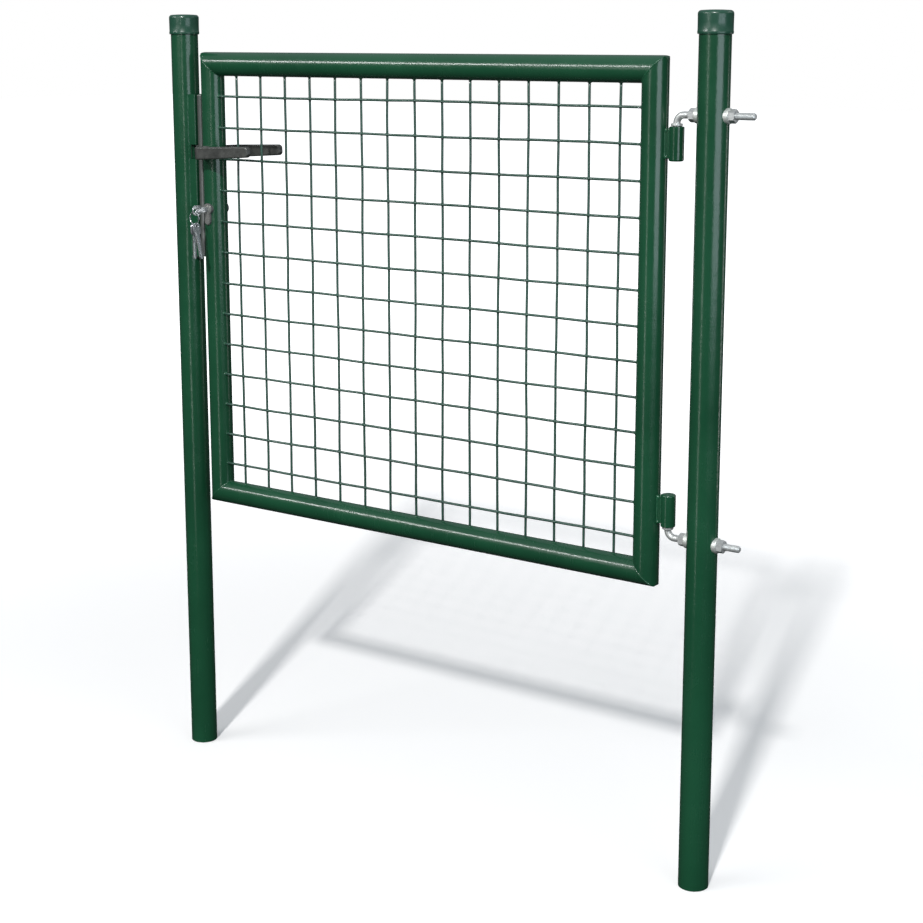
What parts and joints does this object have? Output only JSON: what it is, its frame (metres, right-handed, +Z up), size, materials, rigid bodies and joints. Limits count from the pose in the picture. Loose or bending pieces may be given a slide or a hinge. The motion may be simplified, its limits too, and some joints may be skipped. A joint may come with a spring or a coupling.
{
  "type": "garden gate",
  "caption": "Garden gate with round posts, a tube-framed welded-mesh leaf, adjustable J-bolt hinges and a mortice lock with lever handles and keys.",
  "frame": {"origin": "centre of the latch post's open foot, on the ground line", "axes": "+Z up along the posts, +X from the latch post to the hinge post, -Y towards the front, where the leaf opens"},
  "size_m": [1.0529, 0.1037, 1.25],
  "materials": {
    "green_powder_coat": "glossy moss-green powder coat on steel tube",
    "green_wire_coat": "green powder coat on drawn wire",
    "green_cap_plastic": "moulded green cap, fine grain",
    "galvanised_steel": "bright zinc plated",
    "cast_washer_zinc": "pale zinc, as cast",
    "plain_steel": "ground steel",
    "screw_zinc": "zinc plated",
    "dark_lever_coat": "dark grey satin coat",
    "cylinder_brass": "nickel-plated brass",
    "key_nickel": "nickel-plated"
  },
  "bodies": {
    "posts": {"latch_post": "green_powder_coat", "hinge_post": "green_powder_coat", "latch_post_cap": "green_cap_plastic", "hinge_post_cap": "green_cap_plastic", "strike_channel": "green_powder_coat", "upper_hinge_bolt": "galvanised_steel", "lower_hinge_bolt": "galvanised_steel", "hinge_nuts": "galvanised_steel", "hinge_saddle_washers": "cast_washer_zinc", "hinge_collars": "galvanised_steel"},
    "leaf": {"latch_stile": "green_powder_coat", "hinge_stile": "green_powder_coat", "top_rail": "green_powder_coat", "bottom_rail": "green_powder_coat", "vertical_wires": "green_wire_coat", "horizontal_wires": "green_wire_coat", "upper_hinge_barrel": "green_powder_coat", "lower_hinge_barrel": "green_powder_coat", "lock_case": "galvanised_steel", "lock_case_cover": "galvanised_steel", "case_rivets": "galvanised_steel", "lock_faceplate": "galvanised_steel", "faceplate_screws": "screw_zinc", "cylinder_screw": "screw_zinc", "cylinder_body": "cylinder_brass", "cylinder_rear_plug": "cylinder_brass", "cylinder_escutcheons": "dark_lever_coat", "lever_roses": "dark_lever_coat", "latch_spring": "plain_steel"},
    "lever": {"front_lever": "dark_lever_coat", "rear_lever": "dark_lever_coat", "spindle": "plain_steel", "follower": "plain_steel", "lever_grub_screws": "plain_steel"},
    "latch": {"latch_bolt": "plain_steel"},
    "dead_bolt": {"dead_bolt": "plain_steel"},
    "key": {"key_in_lock": "key_nickel", "cylinder_plug": "cylinder_brass", "cylinder_cam": "cylinder_brass"},
    "key_ring": {"key_ring": "key_nickel"},
    "spare_key_a": {"spare_key_a": "key_nickel"},
    "spare_key_b": {"spare_key_b": "key_nickel"}
  },
  "joints": [
    {"name": "leaf_swing", "type": "hinge", "parent": "posts", "child": "leaf", "pos_m": [0.9113, 0, 0.812], "axis": [0, 0, 1], "range_deg": [0, 110]},
    {"name": "lever_turn", "type": "hinge", "parent": "leaf", "child": "lever", "pos_m": [0.06, 0, 1.029], "axis": [0, 1, 0], "range_deg": [0, 40], "stiffness_Nm_per_rad": 1.5, "springref_deg": -28.65},
    {"name": "latch_slide", "type": "slide", "parent": "leaf", "child": "latch", "axis": [1, 0, 0], "range_m": [0, 0.01001], "deforming": ["latch_spring"]},
    {"name": "key_turn", "type": "hinge", "parent": "leaf", "child": "key", "pos_m": [0.06, 0, 0.937], "axis": [0, 1, 0], "range_deg": [0, 360]},
    {"name": "dead_bolt_slide", "type": "slide", "parent": "leaf", "child": "dead_bolt", "axis": [-1, 0, 0], "range_m": [0, 0.01101]},
    {"name": "ring_swing", "type": "hinge", "parent": "key", "child": "key_ring", "pos_m": [0.06, -0.0515, 0.93505], "axis": [1, 0, 0], "range_deg": [-15, 8]},
    {"name": "spare_key_a_swing", "type": "hinge", "parent": "key_ring", "child": "spare_key_a", "pos_m": [0.0593, -0.0515, 0.91487], "axis": [1, 0, 0], "range_deg": [-30, 10]},
    {"name": "spare_key_b_swing", "type": "hinge", "parent": "key_ring", "child": "spare_key_b", "pos_m": [0.06295, -0.0515, 0.91529], "axis": [1, 0, 0], "range_deg": [-30, 10]}
  ],
  "couplings": [
    {"joint": "latch_slide", "follows": "lever_turn", "m_per_rad": 0.014324},
    {"joint": "dead_bolt_slide", "follows": "key_turn", "m_per_rad": 0.0017507}
  ]
}
